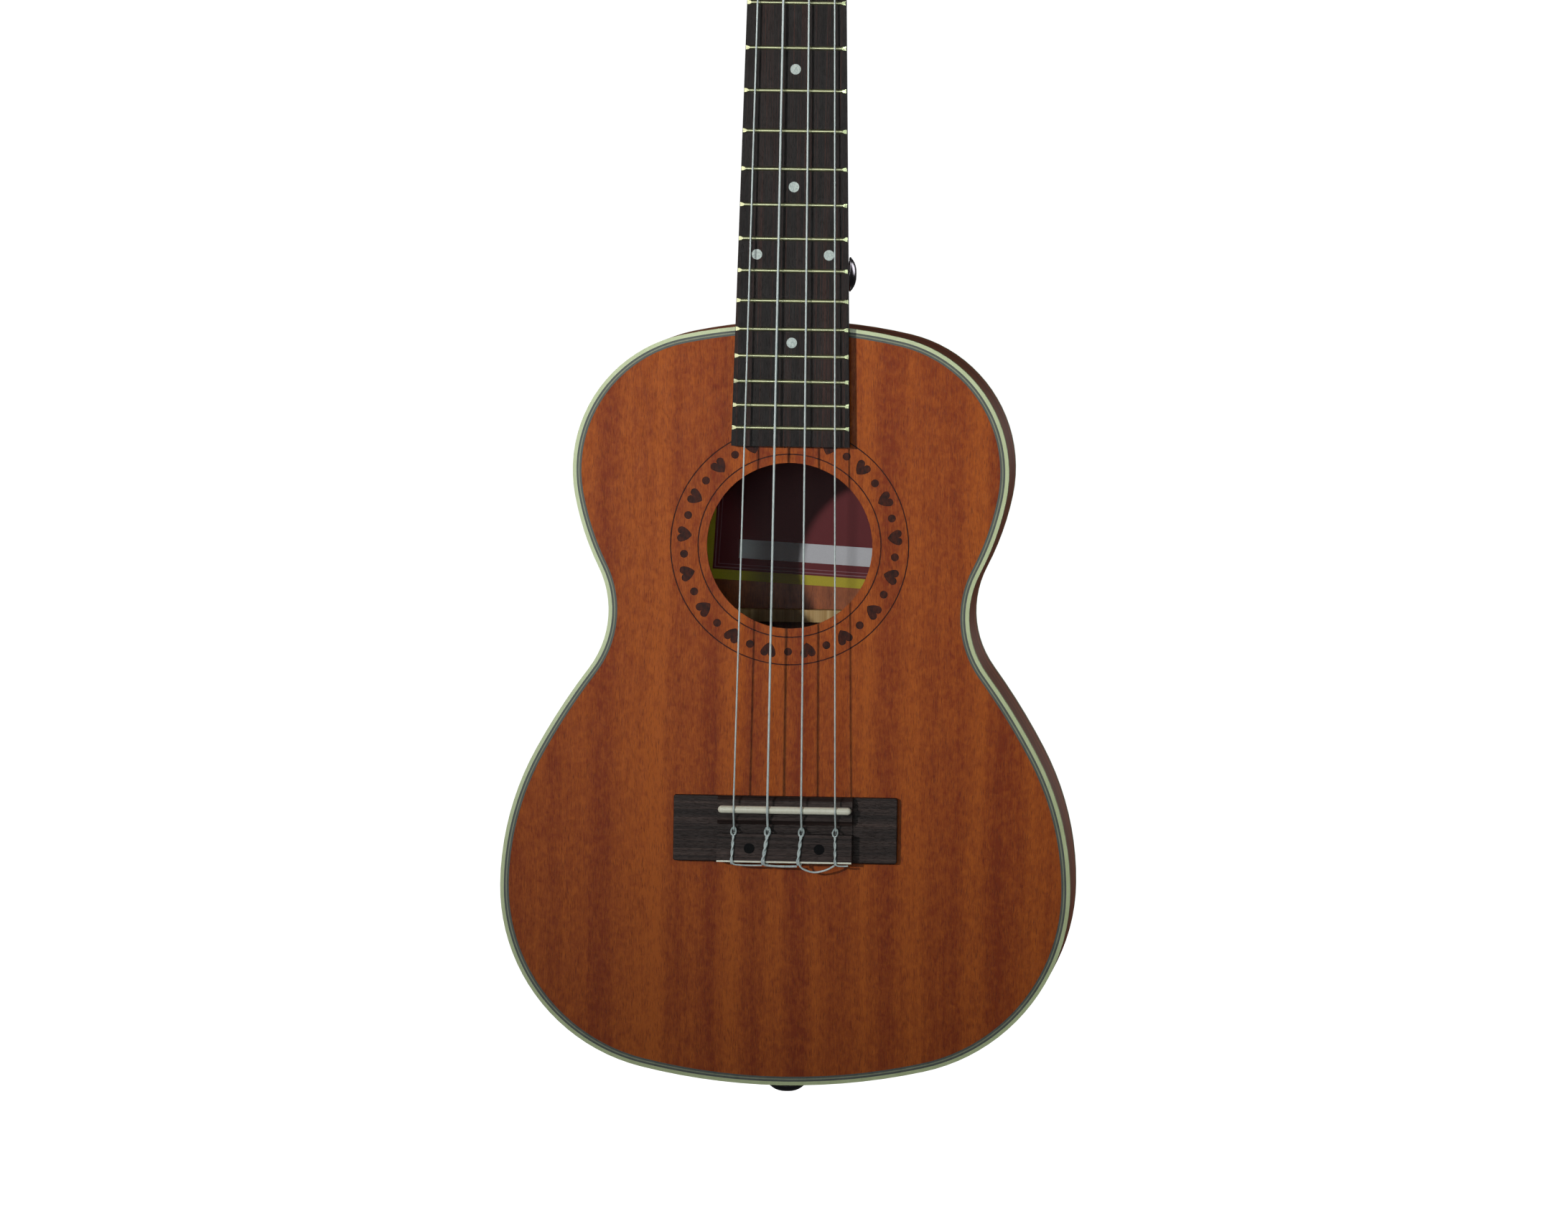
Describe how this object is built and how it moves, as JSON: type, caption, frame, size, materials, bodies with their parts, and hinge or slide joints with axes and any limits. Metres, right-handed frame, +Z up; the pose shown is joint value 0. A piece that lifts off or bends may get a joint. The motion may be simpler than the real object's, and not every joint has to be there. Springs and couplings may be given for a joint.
{
  "type": "tenor ukulele",
  "caption": "Small figure-eight bodied string instrument with a round soundhole, a fretted neck, tied strings and open-gear tuners on a tilted headstock.",
  "frame": {"origin": "on the centre line, at the string end of the nut, in the plane where the fretboard is glued to the neck, where a yoke holds the instrument under its headstock", "axes": "+Z up the neck to the headstock, +Y from the soundboard to the back, +X to the treble side"},
  "size_m": [0.2302, 0.0773, 0.6685],
  "materials": {
    "figured_mahogany": "gloss lacquer over ribbon-figured mahogany",
    "cream_binding": "gloss",
    "purfling": "gloss, black-white-black",
    "neck_mahogany": "satin lacquer",
    "rosewood": "oiled, open pores",
    "spruce": "raw",
    "bone": "polished",
    "fret_metal": "polished nickel silver",
    "pearl": "polished shell",
    "nylon": "clear, slightly grey",
    "chrome": "polished",
    "gear_brass": "machined",
    "button_pearl": "pearloid",
    "black_plastic": "satin",
    "steel": "plated",
    "label_paper": "printed paper"
  },
  "bodies": {
    "root": {"back_binding": "cream_binding", "back_braces": "spruce", "back_linings": "spruce", "back_plate": "figured_mahogany", "bass_side": "figured_mahogany", "bridge": "rosewood", "bridge_bolt_caps": "black_plastic", "bridge_bolt_nuts": "steel", "bridge_bolts": "steel", "bridge_plate": "spruce", "fan_braces": "spruce", "fretboard": "rosewood", "frets": "fret_metal", "headstock": "neck_mahogany", "headstock_veneer": "rosewood", "heel_cap": "rosewood", "neck": "neck_mahogany", "neck_block": "spruce", "neck_dowels": "spruce", "nut": "bone", "position_dots": "pearl", "saddle": "bone", "soundboard": "figured_mahogany", "soundboard_binding": "cream_binding", "soundboard_braces": "spruce", "soundboard_linings": "spruce", "soundboard_purfling": "purfling", "soundhole_label": "label_paper", "strap_button_screws": "steel", "strap_buttons": "chrome", "string_a": "nylon", "string_c": "nylon", "string_e": "nylon", "string_g": "nylon", "tail_block": "spruce", "tie_block_edging": "bone", "treble_side": "figured_mahogany", "tuner_bushings": "chrome", "tuner_plates": "chrome", "tuner_screws": "steel"},
    "g_button": {"tuner_g_shaft": "chrome", "tuner_g_button": "button_pearl"},
    "g_post": {"tuner_g_post": "chrome", "tuner_g_gear": "gear_brass", "tuner_g_winding": "nylon"},
    "c_button": {"tuner_c_shaft": "chrome", "tuner_c_button": "button_pearl"},
    "c_post": {"tuner_c_post": "chrome", "tuner_c_gear": "gear_brass", "tuner_c_winding": "nylon"},
    "e_button": {"tuner_e_shaft": "chrome", "tuner_e_button": "button_pearl"},
    "e_post": {"tuner_e_post": "chrome", "tuner_e_gear": "gear_brass", "tuner_e_winding": "nylon"},
    "a_button": {"tuner_a_shaft": "chrome", "tuner_a_button": "button_pearl"},
    "a_post": {"tuner_a_post": "chrome", "tuner_a_gear": "gear_brass", "tuner_a_winding": "nylon"}
  },
  "joints": [
    {"name": "g_button_turn", "type": "hinge", "parent": "root", "child": "g_button", "pos_m": [-0.017, 0.02387, 0.03469], "axis": [-1, 0, 0], "continuous": true},
    {"name": "g_post_turn", "type": "hinge", "parent": "root", "child": "g_post", "pos_m": [-0.017, 0.00932, 0.04413], "axis": [0, -0.9781, 0.2079], "continuous": true},
    {"name": "c_button_turn", "type": "hinge", "parent": "root", "child": "c_button", "pos_m": [-0.017, 0.03302, 0.07773], "axis": [-1, 0, 0], "continuous": true},
    {"name": "c_post_turn", "type": "hinge", "parent": "root", "child": "c_post", "pos_m": [-0.017, 0.01846, 0.08716], "axis": [0, -0.9781, 0.2079], "continuous": true},
    {"name": "e_button_turn", "type": "hinge", "parent": "root", "child": "e_button", "pos_m": [0.017, 0.03302, 0.07773], "axis": [1, 0, 0], "continuous": true},
    {"name": "e_post_turn", "type": "hinge", "parent": "root", "child": "e_post", "pos_m": [0.017, 0.01846, 0.08716], "axis": [0, -0.9781, 0.2079], "continuous": true},
    {"name": "a_button_turn", "type": "hinge", "parent": "root", "child": "a_button", "pos_m": [0.017, 0.02387, 0.03469], "axis": [1, 0, 0], "continuous": true},
    {"name": "a_post_turn", "type": "hinge", "parent": "root", "child": "a_post", "pos_m": [0.017, 0.00932, 0.04413], "axis": [0, -0.9781, 0.2079], "continuous": true}
  ],
  "couplings": [
    {"joint": "g_post_turn", "follows": "g_button_turn", "ratio": -0.071429},
    {"joint": "c_post_turn", "follows": "c_button_turn", "ratio": -0.071429},
    {"joint": "e_post_turn", "follows": "e_button_turn", "ratio": -0.071429},
    {"joint": "a_post_turn", "follows": "a_button_turn", "ratio": -0.071429}
  ]
}
